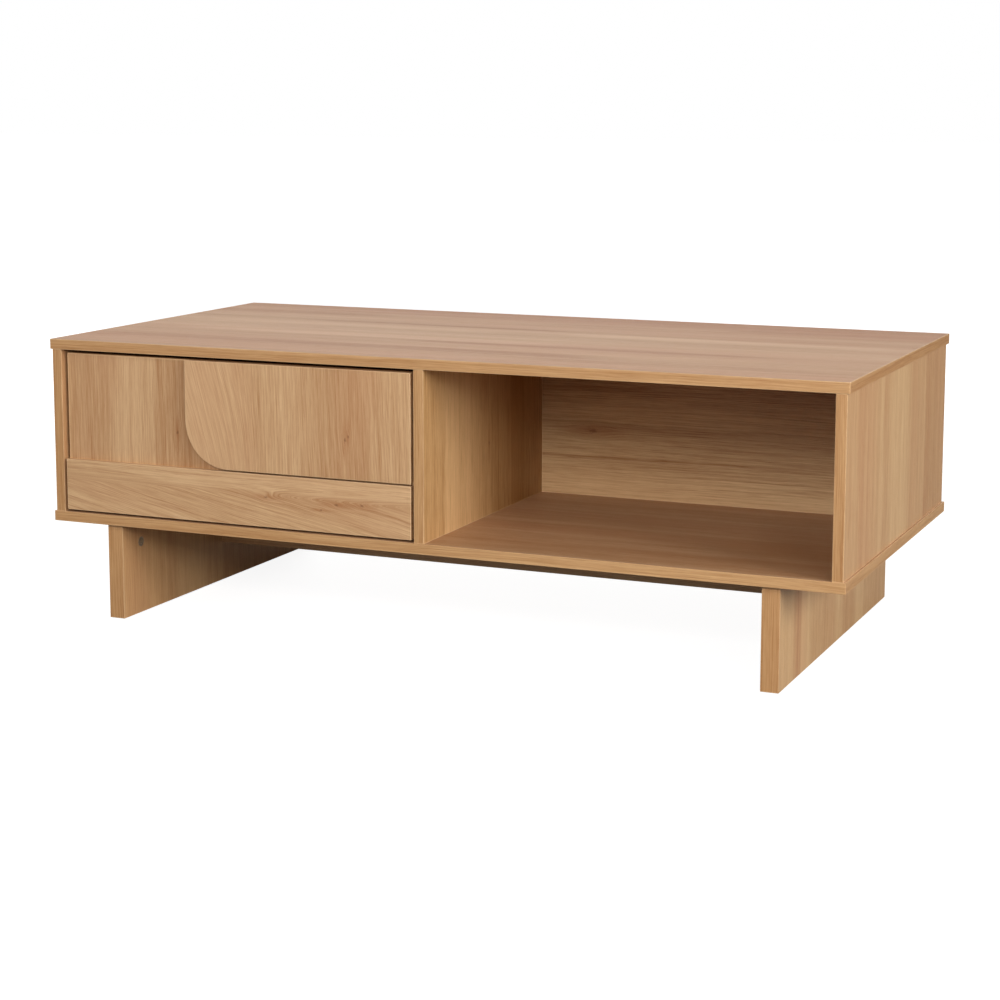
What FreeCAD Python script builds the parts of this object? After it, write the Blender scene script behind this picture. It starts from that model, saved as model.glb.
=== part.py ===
import FreeCAD, Part
import math
import os
from collections import defaultdict

# Coffee table with one wide drawer and an open compartment beside it, on two slab legs.
# Millimetres. X runs along the table, Y towards its rear, Z up.
# The origin is on the floor under the middle of the table, and the drawer opens towards -Y.

# Table as a whole
table_length = 1200.0
table_depth = 600.0
table_height = 415.0
board = 15.0
edge_band = 1.0
edge_ease = 0.6
corner_round = 1.0

# Uprights and back panels
side_overhang = 3.5
upright_front_setback = 1.0
upright_rear_setback = 4.0
compartment_depth = 431.0

# Legs, stretcher and glides
leg_height = 143.0
leg_board = 25.0
leg_end_setback = 87.5
leg_front_setback = 9.0
leg_rear_setback = 1.0
stretcher_height = 80.0
glide_radius = 9.0
glide_thickness = 1.5
glide_chamfer = 0.5
glide_nail_radius = 1.0
glide_nail_length = 14.0
glide_inset = 60.0

# Drawer front: a base board with a strip and a rounded overlay on its face
front_side_gap = 4.5
front_top_gap = 5.5
front_bottom_gap = 3.5
facing = 9.0
strip_height = 75.5
facing_groove = 2.5
recess_width = 206.0
overlay_corner = 68.0
grip_undercut = 6.0

# Drawer box
box_board = 12.0
box_rear_clearance = 34.0
box_height = 150.0
box_lift = 16.0
bottom_board = 3.0
bottom_lift = 10.0
groove_depth = 5.0

# Ball bearing slides
slide_gap = 12.7
slide_height = 45.0
slide_lift = 60.0
slide_front_setback = 2.0
slide_rear_setback = 20.0
slide_overlap = 50.0
rail_sheet = 1.0
rail_bend = 1.0
ball_radius = 2.0
balls_per_race = 6
run_gap = 0.3
cage_sheet = 0.6
cage_gap = 0.4
cage_end_margin = 5.0
cage_lip = 0.6
lip_turn = 60.0
rail_screw_shares = (0.08, 0.5, 0.92)

# Cam locks of the carcass, and the smaller ones of the drawer box
cam_radius = 7.5
cam_reach = 34.0
cam_tail = 5.0
cam_inset = 50.0
leg_cam_inset = 49.0
drawer_cam_radius = 6.0
drawer_cam_reach = 24.0
drawer_cam_tail = 4.0
cam_slot_width = 2.0
cam_slot_depth = 1.5
cam_slot_share = 0.65
cam_bolt_thread_radius = 3.0
cam_bolt_thread_length = 11.0
cam_bolt_shank_radius = 2.5
cam_bolt_neck_radius = 1.6
cam_bolt_head_radius = 3.0
cam_bolt_head_length = 3.0

# Dowels
dowel_radius = 4.0
dowel_in_face = 10.0
dowel_in_end = 20.0
dowel_chamfer = 1.0
dowel_inset = 90.0
leg_dowel_inset = 110.0
stretcher_dowel_spacing = 500.0
drawer_dowel_radius = 3.0

# Heights of fittings, as shares of the board that carries them
bay_back_cam_share = 0.72
bay_back_dowel_share = 0.28
compartment_back_cam_share = 0.60
compartment_back_dowel_share = 0.40
stretcher_cam_share = 0.7
stretcher_dowel_share = 0.3
drawer_cam_shares = (0.16, 0.8)
drawer_dowel_share = 0.66
back_screw_shares = (0.2, 0.8)

# Screws
rail_screw_head_radius = 3.4
rail_screw_shank_radius = 1.75
rail_screw_length = 11.0
box_screw_head_radius = 3.5
box_screw_head_height = 2.0
box_screw_shank_radius = 1.75
box_screw_length = 35.0
facing_screw_length = 21.0
facing_screw_inset = 34.0

# Fits
seat_gap = 0.05
overrun = 1.0

# Directions
RIGHT = FreeCAD.Vector(1, 0, 0)
LEFT = FreeCAD.Vector(-1, 0, 0)
REAR = FreeCAD.Vector(0, 1, 0)
FRONT = FreeCAD.Vector(0, -1, 0)
UP = FreeCAD.Vector(0, 0, 1)
DOWN = FreeCAD.Vector(0, 0, -1)

# A board's six sides, as the axis and which end of it
LEFT_EDGE, RIGHT_EDGE = (0, 0), (0, 1)
FRONT_EDGE, REAR_EDGE = (1, 0), (1, 1)
LOWER_EDGE, UPPER_EDGE = (2, 0), (2, 1)

# Places that several pieces share
half_length = table_length / 2
front = -table_depth / 2
rear = table_depth / 2
top_under = table_height - board
floor_top = leg_height + board
side_outer = half_length - side_overhang
side_inner = side_outer - board
upright_front = front + upright_front_setback
upright_rear = rear - upright_rear_setback
back_front = front + compartment_depth
back_rear = back_front + board
leg_outer = half_length - leg_end_setback
leg_inner = leg_outer - leg_board
leg_front = front + leg_front_setback
leg_rear = rear - leg_rear_setback
stretcher_bottom = leg_height - stretcher_height

bay_left = -side_inner
bay_right = -board / 2
bay_middle = (bay_left + bay_right) / 2
base_front = upright_front + facing
base_back = base_front + board
front_left = bay_left + front_side_gap
front_right = bay_right - front_side_gap
front_bottom = floor_top + front_bottom_gap
front_top = top_under - front_top_gap
strip_top = front_bottom + strip_height
overlay_left = front_left + recess_width
overlay_bottom = strip_top + facing_groove

box_left = bay_left + slide_gap
box_right = bay_right - slide_gap
box_inner_left = box_left + box_board
box_inner_right = box_right - box_board
box_rear = back_front - box_rear_clearance
box_back_front = box_rear - box_board
box_bottom = floor_top + box_lift
box_top = box_bottom + box_height
bottom_low = box_bottom + bottom_lift
bottom_high = bottom_low + bottom_board
slide_front = base_back + slide_front_setback
slide_length = box_rear - slide_rear_setback - slide_front
slide_travel = slide_length - slide_overlap
slide_level = box_bottom + slide_lift

# Every finished piece by node name, and the bores that are cut from the boards at the end
pieces = {}
groups = defaultdict(list)
bores = defaultdict(list)


def point(x, y, z):
    return FreeCAD.Vector(x, y, z)


def block(x_span, y_span, z_span):
    """A box between the two ends of three spans."""
    low = [span[0] for span in (x_span, y_span, z_span)]
    size = [span[1] - span[0] for span in (x_span, y_span, z_span)]
    return Part.makeBox(*size, point(*low))


def placed(shape, spot, along, up):
    """A copy of a shape drawn about its own origin, with its X turned to along and its Z to up."""
    turn = FreeCAD.Rotation(along, up.cross(along), up, "XZY")
    moved = shape.copy()
    moved.Placement = FreeCAD.Placement(spot, turn)
    return moved


def turned(outline):
    """A turned solid about X, from an outline of distances along the axis and radii."""
    corners = [point(along, radius, 0) for along, radius in outline]
    wire = Part.makePolygon(corners + corners[:1])
    return Part.Face(wire).revolve(point(0, 0, 0), RIGHT, 360)


def mirrored(shape):
    """The same piece on the other side of the drawer bay."""
    return shape.mirror(point(bay_middle, 0, 0), RIGHT)


def banded_board(name, band_name, spans, banded, thickness_axis):
    """A board whose banded edges carry glued strips, with eased rims and rounded corners between strips."""
    rest = block(*spans)

    def bands_met(edge):
        return sum(math.isclose(edge.CenterOfMass[axis], spans[axis][end]) for axis, end in banded)

    corners = [edge for edge in rest.Edges if bands_met(edge) == 2]
    if corners:
        rest = rest.makeFillet(corner_round, corners)
    rim = []
    for edge in rest.Edges:
        level = edge.CenterOfMass[thickness_axis]
        on_face = any(math.isclose(level, side) for side in spans[thickness_axis])
        if on_face and (bands_met(edge) or isinstance(edge.Curve, Part.Circle)):
            rim.append(edge)
    rest = rest.makeFillet(edge_ease, rim)
    for axis, end in banded:
        slab = [(low - overrun, high + overrun) for low, high in spans]
        low, high = spans[axis]
        slab[axis] = (low - overrun, low + edge_band) if end == 0 else (high - edge_band, high + overrun)
        strip = rest.common(block(*slab)).Solids[0]
        rest = rest.cut(block(*slab))
        first_axis = banded[0][0]
        if axis != first_axis:
            low, high = spans[first_axis]
            slab[first_axis] = (low + edge_band + seat_gap, high - edge_band - seat_gap)
            strip = strip.common(block(*slab)).Solids[0]
        groups[band_name].append(strip)
    pieces[name] = rest.Solids[0]


def cam_fitting(group, carrier, mate, spot, inward, face, thickness, size):
    """A cam lock let into the carrier's face, and the bolt that it draws out of the mating panel.

    The spot is on the joint, in the middle of the carrier's thickness.
    """
    radius, reach, tail = size
    depth = thickness / 2 + tail
    lock = Part.makeCylinder(radius - seat_gap, depth, point(reach, 0, -tail), UP)
    channel_radius = cam_bolt_head_radius + seat_gap
    channel = Part.makeCylinder(channel_radius, reach + seat_gap + overrun, point(-overrun, 0, 0), RIGHT)
    lock = lock.cut(channel)
    slot_half = radius * cam_slot_share
    slot_rim = cam_slot_width / 2
    slot_span = (thickness / 2 - cam_slot_depth, thickness / 2 + overrun)
    for half_x, half_y in ((slot_half, slot_rim), (slot_rim, slot_half)):
        lock = lock.cut(block((reach - half_x, reach + half_x), (-half_y, half_y), slot_span))
    neck_start = reach - radius
    head_start = reach - cam_bolt_head_length
    bolt = turned([
        (-cam_bolt_thread_length, 0),
        (-cam_bolt_thread_length, cam_bolt_thread_radius),
        (0, cam_bolt_thread_radius),
        (0, cam_bolt_shank_radius),
        (neck_start, cam_bolt_shank_radius),
        (neck_start, cam_bolt_neck_radius),
        (head_start, cam_bolt_neck_radius),
        (head_start, cam_bolt_head_radius),
        (reach, cam_bolt_head_radius),
        (reach, 0),
    ])
    pocket = Part.makeCylinder(radius, depth + seat_gap + overrun, point(reach, 0, -tail - seat_gap), UP)
    thread_bore = Part.makeCylinder(
        cam_bolt_thread_radius + seat_gap,
        cam_bolt_thread_length + seat_gap + overrun,
        point(overrun, 0, 0),
        LEFT,
    )
    groups[group + "_cam_locks"].append(placed(lock, spot, inward, face))
    groups[group + "_cam_bolts"].append(placed(bolt, spot, inward, face))
    bores[carrier].append(placed(pocket.fuse(channel), spot, inward, face))
    bores[mate].append(placed(thread_bore, spot, inward, face))


def dowel(group, carrier, mate, spot, inward, face, radius):
    """A fluteless wood dowel across a joint, in the carrier's end and the mating panel's face."""
    pin = turned([
        (-dowel_in_face, 0),
        (-dowel_in_face, radius - dowel_chamfer),
        (dowel_chamfer - dowel_in_face, radius),
        (dowel_in_end - dowel_chamfer, radius),
        (dowel_in_end, radius - dowel_chamfer),
        (dowel_in_end, 0),
    ])
    length = dowel_in_face + dowel_in_end + 2 * seat_gap
    bore = Part.makeCylinder(radius + seat_gap, length, point(-dowel_in_face - seat_gap, 0, 0), RIGHT)
    groups[group + "_dowels"].append(placed(pin, spot, inward, face))
    for node in (carrier, mate):
        bores[node].append(placed(bore, spot, inward, face))


def screw(group, holders, spot, inward, up, head_radius, head_height, shank_radius, length):
    """A countersunk screw with its head flush at the spot, and its bore in the pieces that it holds."""
    outline = [
        (0, 0),
        (0, head_radius),
        (head_height, shank_radius),
        (length - shank_radius, shank_radius),
        (length, 0),
    ]
    bore = [
        (-overrun, 0),
        (-overrun, head_radius + seat_gap),
        (0, head_radius + seat_gap),
        (head_height, shank_radius + seat_gap),
        (length + seat_gap, shank_radius + seat_gap),
        (length + seat_gap, 0),
    ]
    groups[group].append(placed(turned(outline), spot, inward, up))
    for node in holders:
        bores[node].append(placed(turned(bore), spot, inward, up))


def between(low, high, share):
    return low + (high - low) * share


def panels_and_uprights():
    """Top, bottom, the three uprights and the two back panels."""
    around = (FRONT_EDGE, REAR_EDGE, LEFT_EDGE, RIGHT_EDGE)
    plan = ((-half_length, half_length), (front, rear))
    banded_board("top_panel", "top_edge_band", plan + ((top_under, table_height),), around, 2)
    banded_board("bottom_panel", "bottom_edge_band", plan + ((leg_height, floor_top),), around, 2)
    upright_depth = (upright_front, upright_rear)
    inner_height = (floor_top, top_under)
    uprights = (
        ("left_side", "left_side_panel", (-side_outer, -side_inner), RIGHT),
        ("divider", "divider_panel", (-board / 2, board / 2), LEFT),
        ("right_side", "right_side_panel", (side_inner, side_outer), LEFT),
    )
    for stem, node, x_span, cam_face in uprights:
        spans = (x_span, upright_depth, inner_height)
        banded_board(node, stem + "_edge_band", spans, (FRONT_EDGE, REAR_EDGE), 0)
        x = sum(x_span) / 2
        for mate, z, inward in (("top_panel", top_under, DOWN), ("bottom_panel", floor_top, UP)):
            for y in (upright_front + cam_inset, upright_rear - cam_inset):
                size = (cam_radius, cam_reach, cam_tail)
                cam_fitting("carcass", node, mate, point(x, y, z), inward, cam_face, board, size)
            for y in (upright_front + dowel_inset, upright_rear - dowel_inset):
                dowel("carcass", node, mate, point(x, y, z), inward, cam_face, dowel_radius)
    backs = (
        ("drawer_bay_back_panel", (bay_left, bay_right), ("left_side_panel", "divider_panel"),
         bay_back_cam_share, bay_back_dowel_share),
        ("compartment_back_panel", (board / 2, side_inner), ("divider_panel", "right_side_panel"),
         compartment_back_cam_share, compartment_back_dowel_share),
    )
    back_middle = (back_front + back_rear) / 2
    for node, x_span, mates, cam_share, dowel_share in backs:
        pieces[node] = block(x_span, (back_front, back_rear), inner_height)
        for mate, x, inward in zip(mates, x_span, (RIGHT, LEFT)):
            cam_spot = point(x, back_middle, between(floor_top, top_under, cam_share))
            size = (cam_radius, cam_reach, cam_tail)
            cam_fitting("carcass", node, mate, cam_spot, inward, REAR, board, size)
            dowel_spot = point(x, back_middle, between(floor_top, top_under, dowel_share))
            dowel("carcass", node, mate, dowel_spot, inward, REAR, dowel_radius)


def glide(node, x, y):
    """A nailed plastic glide under a leg."""
    nail_end = glide_thickness + glide_nail_length
    solid = turned([
        (0, 0),
        (0, glide_radius - glide_chamfer),
        (glide_chamfer, glide_radius),
        (glide_thickness, glide_radius),
        (glide_thickness, glide_nail_radius),
        (nail_end - glide_nail_radius, glide_nail_radius),
        (nail_end, 0),
    ])
    bore = Part.makeCylinder(glide_nail_radius + seat_gap, nail_end + seat_gap, point(0, 0, 0), RIGHT)
    groups["leg_glides"].append(placed(solid, point(x, y, 0), UP, FRONT))
    bores[node].append(placed(bore, point(x, y, 0), UP, FRONT))


def legs_and_stretcher():
    """The two slab legs with their glides, and the rail between them under the bottom panel."""
    sizes = (cam_radius, cam_reach, cam_tail)
    for node, x_span, inner_face in (
        ("left_leg", (-leg_outer, -leg_inner), RIGHT),
        ("right_leg", (leg_inner, leg_outer), LEFT),
    ):
        spans = (x_span, (leg_front, leg_rear), (glide_thickness, leg_height))
        banded_board(node, node + "_edge_band", spans, (FRONT_EDGE, REAR_EDGE), 0)
        x = sum(x_span) / 2
        for y in (leg_front + leg_cam_inset, leg_rear - leg_cam_inset):
            spot = point(x, y, leg_height)
            cam_fitting("leg", node, "bottom_panel", spot, DOWN, inner_face, leg_board, sizes)
        for y in (leg_front + leg_dowel_inset, leg_rear - leg_dowel_inset):
            dowel("leg", node, "bottom_panel", point(x, y, leg_height), DOWN, inner_face, dowel_radius)
        for y in (leg_front + glide_inset, leg_rear - glide_inset):
            glide(node, x, y)
    node = "stretcher_rail"
    spans = ((-leg_inner, leg_inner), (-board / 2, board / 2), (stretcher_bottom, leg_height))
    banded_board(node, "stretcher_edge_band", spans, (LOWER_EDGE,), 1)
    for leg, x, inward in (("left_leg", -leg_inner, RIGHT), ("right_leg", leg_inner, LEFT)):
        cam_spot = point(x, 0, between(stretcher_bottom, leg_height, stretcher_cam_share))
        cam_fitting("leg", node, leg, cam_spot, inward, REAR, board, sizes)
        dowel_spot = point(x, 0, between(stretcher_bottom, leg_height, stretcher_dowel_share))
        dowel("leg", node, leg, dowel_spot, inward, REAR, dowel_radius)
    for x in (-stretcher_dowel_spacing / 2, stretcher_dowel_spacing / 2):
        dowel("leg", node, "bottom_panel", point(x, 0, leg_height), DOWN, REAR, dowel_radius)


def overlay_panel():
    """The drawer's facing panel: a rounded lower left corner, undercut behind as a finger grip."""
    y = upright_front
    bend = overlay_corner * math.sqrt(0.5)
    arc_x = overlay_left + overlay_corner
    arc_z = overlay_bottom + overlay_corner
    start = point(overlay_left, y, arc_z)
    end = point(arc_x, y, overlay_bottom)
    low_right = point(front_right, y, overlay_bottom)
    high_right = point(front_right, y, front_top)
    high_left = point(overlay_left, y, front_top)
    outline = Part.Wire([
        Part.makeLine(high_left, start),
        Part.Arc(start, point(arc_x - bend, y, arc_z - bend), end).toShape(),
        Part.makeLine(end, low_right),
        Part.makeLine(low_right, high_right),
        Part.makeLine(high_right, high_left),
    ])
    panel = Part.Face(outline).extrude(REAR * facing)
    grip = []
    for edge in panel.Edges:
        middle = edge.valueAt((edge.FirstParameter + edge.LastParameter) / 2)
        if math.isclose(middle.y, base_front) and middle.x < arc_x and middle.z < front_top:
            grip.append(edge)
    panel = panel.makeChamfer(grip_undercut, grip)
    rim = [edge for edge in panel.Edges if math.isclose(edge.BoundBox.YMax, upright_front)]
    pieces["drawer_overlay_panel"] = panel.makeFillet(edge_ease, rim)


def drawer_front():
    """Base board, lower strip and overlay, with the screws that come through from behind."""
    node = "drawer_front_panel"
    around = (LEFT_EDGE, RIGHT_EDGE, LOWER_EDGE, UPPER_EDGE)
    spans = ((front_left, front_right), (base_front, base_back), (front_bottom, front_top))
    banded_board(node, "drawer_front_edge_band", spans, around, 1)
    strip = block((front_left, front_right), (upright_front, base_front), (front_bottom, strip_top))
    rim = [edge for edge in strip.Edges if math.isclose(edge.BoundBox.YMax, upright_front)]
    pieces["drawer_lower_strip"] = strip.makeFillet(edge_ease, rim)
    overlay_panel()
    strip_x = (box_inner_left + facing_screw_inset, bay_middle, box_inner_right - facing_screw_inset)
    strip_z = (bottom_high + strip_top) / 2
    overlay_x = (overlay_left + facing_screw_inset, box_inner_right - facing_screw_inset)
    overlay_z = (overlay_bottom + facing_screw_inset, front_top - facing_screw_inset)
    spots = [("drawer_lower_strip", x, strip_z) for x in strip_x]
    spots += [("drawer_overlay_panel", x, z) for x in overlay_x for z in overlay_z]
    for held, x, z in spots:
        screw("drawer_front_screws", (node, held), point(x, base_back, z), FRONT, UP,
              box_screw_head_radius, box_screw_head_height, box_screw_shank_radius, facing_screw_length)


def drawer_box():
    """Sides, back and bottom of the drawer, with the fittings that hold them together."""
    height = (box_bottom, box_top)
    bands = "drawer_box_edge_bands"
    sides = (
        ("drawer_left_side", (box_left, box_inner_left), LEFT, box_left),
        ("drawer_right_side", (box_inner_right, box_right), RIGHT, box_right),
    )
    size = (drawer_cam_radius, drawer_cam_reach, drawer_cam_tail)
    for node, x_span, outward, outer_x in sides:
        banded_board(node, bands, (x_span, (base_back, box_rear), height), (UPPER_EDGE,), 0)
        x = sum(x_span) / 2
        for share in drawer_cam_shares:
            spot = point(x, base_back, between(box_bottom, box_top, share))
            cam_fitting("drawer", node, "drawer_front_panel", spot, REAR, outward, box_board, size)
        spot = point(x, base_back, between(box_bottom, box_top, drawer_dowel_share))
        dowel("drawer", node, "drawer_front_panel", spot, REAR, outward, drawer_dowel_radius)
        for share in back_screw_shares:
            spot = point(outer_x, (box_back_front + box_rear) / 2, between(box_bottom, box_top, share))
            screw("drawer_back_screws", (node, "drawer_back"), spot, -outward, UP, box_screw_head_radius,
                  box_screw_head_height, box_screw_shank_radius, box_screw_length)
    spans = ((box_inner_left, box_inner_right), (box_back_front, box_rear), height)
    banded_board("drawer_back", bands, spans, (UPPER_EDGE,), 1)
    spans = (
        (box_inner_left - groove_depth, box_inner_right + groove_depth),
        (base_back - groove_depth, box_back_front + groove_depth),
        (bottom_low, bottom_high),
    )
    pieces["drawer_bottom"] = block(*spans)
    groove = block(*[(low - seat_gap, high + seat_gap) for low, high in spans])
    for node in ("drawer_front_panel", "drawer_left_side", "drawer_right_side", "drawer_back"):
        bores[node].append(groove)


def formed_strip(web, level, bend, reach, ball, sheet, length, start):
    """A strip of sheet bent to a C along the slide, symmetric about the slide's level.

    The web stands at a distance from the wall, its flanges lie at the given level above and below the
    slide's middle and run to the reach. With a ball's place given, each flange ends in a lip round it.
    """
    side = math.copysign(1, reach - web)
    corner = web + side * bend
    half_turn = bend * (1 - math.sqrt(0.5))

    def spot(u, w):
        return point(bay_left + u, start, slide_level + w)

    upper = [Part.Arc(
        spot(web, level - bend),
        spot(web + side * half_turn, level - half_turn),
        spot(corner, level),
    ).toShape()]
    upper.append(Part.makeLine(spot(corner, level), spot(reach, level)))
    if ball is not None:
        towards = math.copysign(1, level - ball)
        ring = abs(level - ball)
        lip = []
        for turn in (lip_turn / 2, lip_turn):
            angle = math.radians(turn)
            lip.append(spot(reach + side * ring * math.sin(angle), ball + towards * ring * math.cos(angle)))
        upper.append(Part.Arc(spot(reach, level), *lip).toShape())
    lower = [edge.mirror(spot(web, 0), UP) for edge in upper]
    middle = Part.makeLine(spot(web, bend - level), spot(web, level - bend))
    path = Part.Wire(Part.__sortEdges__(lower + [middle] + upper))
    return path.makeOffset2D(sheet / 2, 0, True, False).extrude(REAR * length)


def drawer_slides():
    """Two telescopic slides: cabinet rail, middle rail and drawer rail with caged balls between them."""
    half_sheet = rail_sheet / 2
    ring = ball_radius + run_gap + half_sheet
    cabinet_level = slide_height / 2 - half_sheet
    outer_ball = cabinet_level - ring
    middle_level = outer_ball - ring
    inner_ball = middle_level - ring
    drawer_level = inner_ball - ring
    cabinet_web = half_sheet
    outer_cage_web = rail_sheet + cage_gap + cage_sheet / 2
    middle_web = outer_cage_web + cage_sheet / 2 + cage_gap + half_sheet
    inner_cage_web = middle_web + half_sheet + cage_gap + cage_sheet / 2
    drawer_web = slide_gap - half_sheet
    outer_ball_u = (outer_cage_web + drawer_web) / 2 - ball_radius / 2
    inner_ball_u = drawer_web - rail_bend - ring
    middle_reach = drawer_web - rail_sheet - run_gap

    rails = {
        "cabinet": formed_strip(cabinet_web, cabinet_level, rail_bend, outer_ball_u, outer_ball, rail_sheet,
                                slide_length, slide_front),
        "middle": formed_strip(middle_web, middle_level, rail_bend, middle_reach, None, rail_sheet,
                               slide_length, slide_front),
        "drawer": formed_strip(drawer_web, drawer_level, rail_bend, inner_ball_u, inner_ball, rail_sheet,
                               slide_length, slide_front),
    }
    for stem, rail in rails.items():
        pieces["left_%s_rail" % stem] = rail
        pieces["right_%s_rail" % stem] = mirrored(rail)

    cage_start = slide_front + slide_travel / 4 + cage_end_margin
    cage_length = slide_length - slide_travel / 2 - 2 * cage_end_margin
    window = ball_radius + run_gap / 2
    first_ball = cage_start + window + cage_lip
    pitch = (cage_length - 2 * (window + cage_lip)) / (balls_per_race - 1)
    for stem, web, u, w in (
        ("outer", outer_cage_web, outer_ball_u, outer_ball),
        ("inner", inner_cage_web, inner_ball_u, inner_ball),
    ):
        cage = formed_strip(web, w, cage_sheet, u + window + cage_lip, None, cage_sheet, cage_length, cage_start)
        for index in range(balls_per_race):
            y = first_ball + index * pitch
            for level in (slide_level - w, slide_level + w):
                centre = point(bay_left + u, y, level)
                hole = Part.makeCylinder(window, 2 * window, centre - UP * window, UP)
                cage = cage.cut(hole)
                ball = Part.makeSphere(ball_radius, centre)
                groups[stem + "_balls"].extend((ball, mirrored(ball)))
        pieces["left_%s_ball_cage" % stem] = cage.Solids[0]
        pieces["right_%s_ball_cage" % stem] = mirrored(cage.Solids[0])

    for share in rail_screw_shares:
        y = slide_front + slide_length * share
        for hand, wall, box_side, into_wall in (
            ("left", bay_left, box_left, LEFT),
            ("right", bay_right, box_right, RIGHT),
        ):
            panel = "left_side_panel" if hand == "left" else "divider_panel"
            wall_spot = point(wall, y, slide_level) - into_wall * rail_sheet
            screw("cabinet_rail_screws", ("%s_cabinet_rail" % hand, panel), wall_spot, into_wall, UP,
                  rail_screw_head_radius, rail_sheet, rail_screw_shank_radius, rail_screw_length)
            box_spot = point(box_side, y, slide_level) + into_wall * rail_sheet
            screw("drawer_rail_screws", ("%s_drawer_rail" % hand, "drawer_%s_side" % hand), box_spot, -into_wall,
                  UP, rail_screw_head_radius, rail_sheet, rail_screw_shank_radius, rail_screw_length)


def write_parts():
    """Cuts every bore and writes one file for each node."""
    os.makedirs("parts", exist_ok=True)
    for node, cuts in bores.items():
        pieces[node] = pieces[node].cut(cuts)
    for node, solids in groups.items():
        pieces[node] = Part.makeCompound(solids)
    for node, shape in pieces.items():
        shape.exportStep("parts/%s.step" % node)
    print(len(pieces), "nodes written")


panels_and_uprights()
legs_and_stretcher()
drawer_front()
drawer_box()
drawer_slides()
write_parts()
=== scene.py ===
import math

import bpy
from mathutils import Matrix, Vector


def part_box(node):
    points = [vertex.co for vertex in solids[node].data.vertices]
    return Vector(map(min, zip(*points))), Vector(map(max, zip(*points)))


# Coffee table with one drawer and an open compartment, in light wood veneer on slab legs.
# Metres. X runs along the table, Y towards its rear, Z up, with the floor at zero.
# The solids keep their shapes, and every one of them gets a finish made of shader nodes.

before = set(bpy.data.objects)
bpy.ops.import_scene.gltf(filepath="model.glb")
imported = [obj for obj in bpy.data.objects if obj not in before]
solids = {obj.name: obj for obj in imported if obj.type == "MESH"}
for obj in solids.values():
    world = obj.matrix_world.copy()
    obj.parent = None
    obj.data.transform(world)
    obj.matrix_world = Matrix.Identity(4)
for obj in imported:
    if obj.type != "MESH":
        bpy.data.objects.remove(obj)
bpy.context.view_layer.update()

AXES = "XYZ"
WHITE = (1.0, 1.0, 1.0, 1.0)
SAWN_ROUGHNESS = 0.85


# Small helpers for node trees

def srgb(red, green, blue):
    """A colour as seen on screen, from 0 to 255, turned into the linear colour that shaders use."""
    def linear(level):
        share = level / 255
        return share / 12.92 if share <= 0.04045 else ((share + 0.055) / 1.055) ** 2.4
    return (linear(red), linear(green), linear(blue), 1.0)


def feed(tree, socket, value):
    """Links a socket to another one's output, or sets its plain value."""
    if isinstance(value, bpy.types.NodeSocket):
        tree.links.new(value, socket)
    else:
        socket.default_value = value


def add(tree, kind, inputs=None, **settings):
    """A new node with its settings and inputs in place."""
    made = tree.nodes.new("ShaderNode" + kind)
    for name, value in settings.items():
        setattr(made, name, value)
    for socket, value in (inputs or {}).items():
        feed(tree, made.inputs[socket], value)
    return made


def calc(tree, operation, *terms, clamp=False):
    """The result of one sum, product or other operation on numbers."""
    made = add(tree, "Math", operation=operation, use_clamp=clamp)
    for socket, value in zip(made.inputs, terms):
        feed(tree, socket, value)
    return made.outputs[0]


def total(tree, *terms):
    """Several numbers added up."""
    result = terms[0]
    for term in terms[1:]:
        result = calc(tree, "ADD", result, term)
    return result


def scaled(tree, value, factor, offset=0.0):
    """A number times a factor, plus an offset."""
    return calc(tree, "MULTIPLY_ADD", value, factor, offset)


def weighed(tree, base, *pairs):
    """Several numbers, each times its weight, added to a base value."""
    return total(tree, *(scaled(tree, value, weight) for value, weight in pairs), base)


def swing(tree, value, reach):
    """A number from 0 to 1 turned into a shift to either side, as far as its reach."""
    return scaled(tree, value, 2 * reach, -reach)


def limited(tree, value):
    """A number kept between 0 and 1."""
    return calc(tree, "ADD", value, 0.0, clamp=True)


def combine(tree, x, y, z):
    """A place made of three coordinates."""
    return add(tree, "CombineXYZ", {0: x, 1: y, 2: z}).outputs[0]


def split(tree, spot):
    """The three coordinates of a place."""
    return add(tree, "SeparateXYZ", {0: spot}).outputs


def vector(tree, operation, first, second):
    """The result of one operation on two places."""
    return add(tree, "VectorMath", {0: first, 1: second}, operation=operation).outputs[0]


def stretch(tree, spot, factor):
    """A place with its three coordinates times a factor."""
    return add(tree, "VectorMath", {0: spot, 3: factor}, operation="SCALE").outputs[0]


def noise(tree, spot, detail, roughness=0.5):
    """Soft noise from 0 to 1 at a spot whose coordinates already carry the scale."""
    inputs = {"Vector": spot, "Scale": 1.0, "Detail": detail, "Roughness": roughness}
    return add(tree, "TexNoise", inputs).outputs["Fac"]


def ease(tree, value, low, high, start=0.0, end=1.0):
    """A smooth step from one value to another while the input goes from low to high."""
    inputs = {"Value": value, "From Min": low, "From Max": high, "To Min": start, "To Max": end}
    return add(tree, "MapRange", inputs, interpolation_type="SMOOTHSTEP").outputs["Result"]


def tint(tree, share, first, second):
    """Two colours mixed by a share."""
    made = add(tree, "Mix", data_type="RGBA")
    for index, value in ((0, share), (6, first), (7, second)):
        feed(tree, made.inputs[index], value)
    return made.outputs[2]


def choose(tree, share, first, second):
    """Two numbers mixed by a share."""
    made = add(tree, "Mix", data_type="FLOAT")
    for index, value in ((0, share), (2, first), (3, second)):
        feed(tree, made.inputs[index], value)
    return made.outputs[0]


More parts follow.
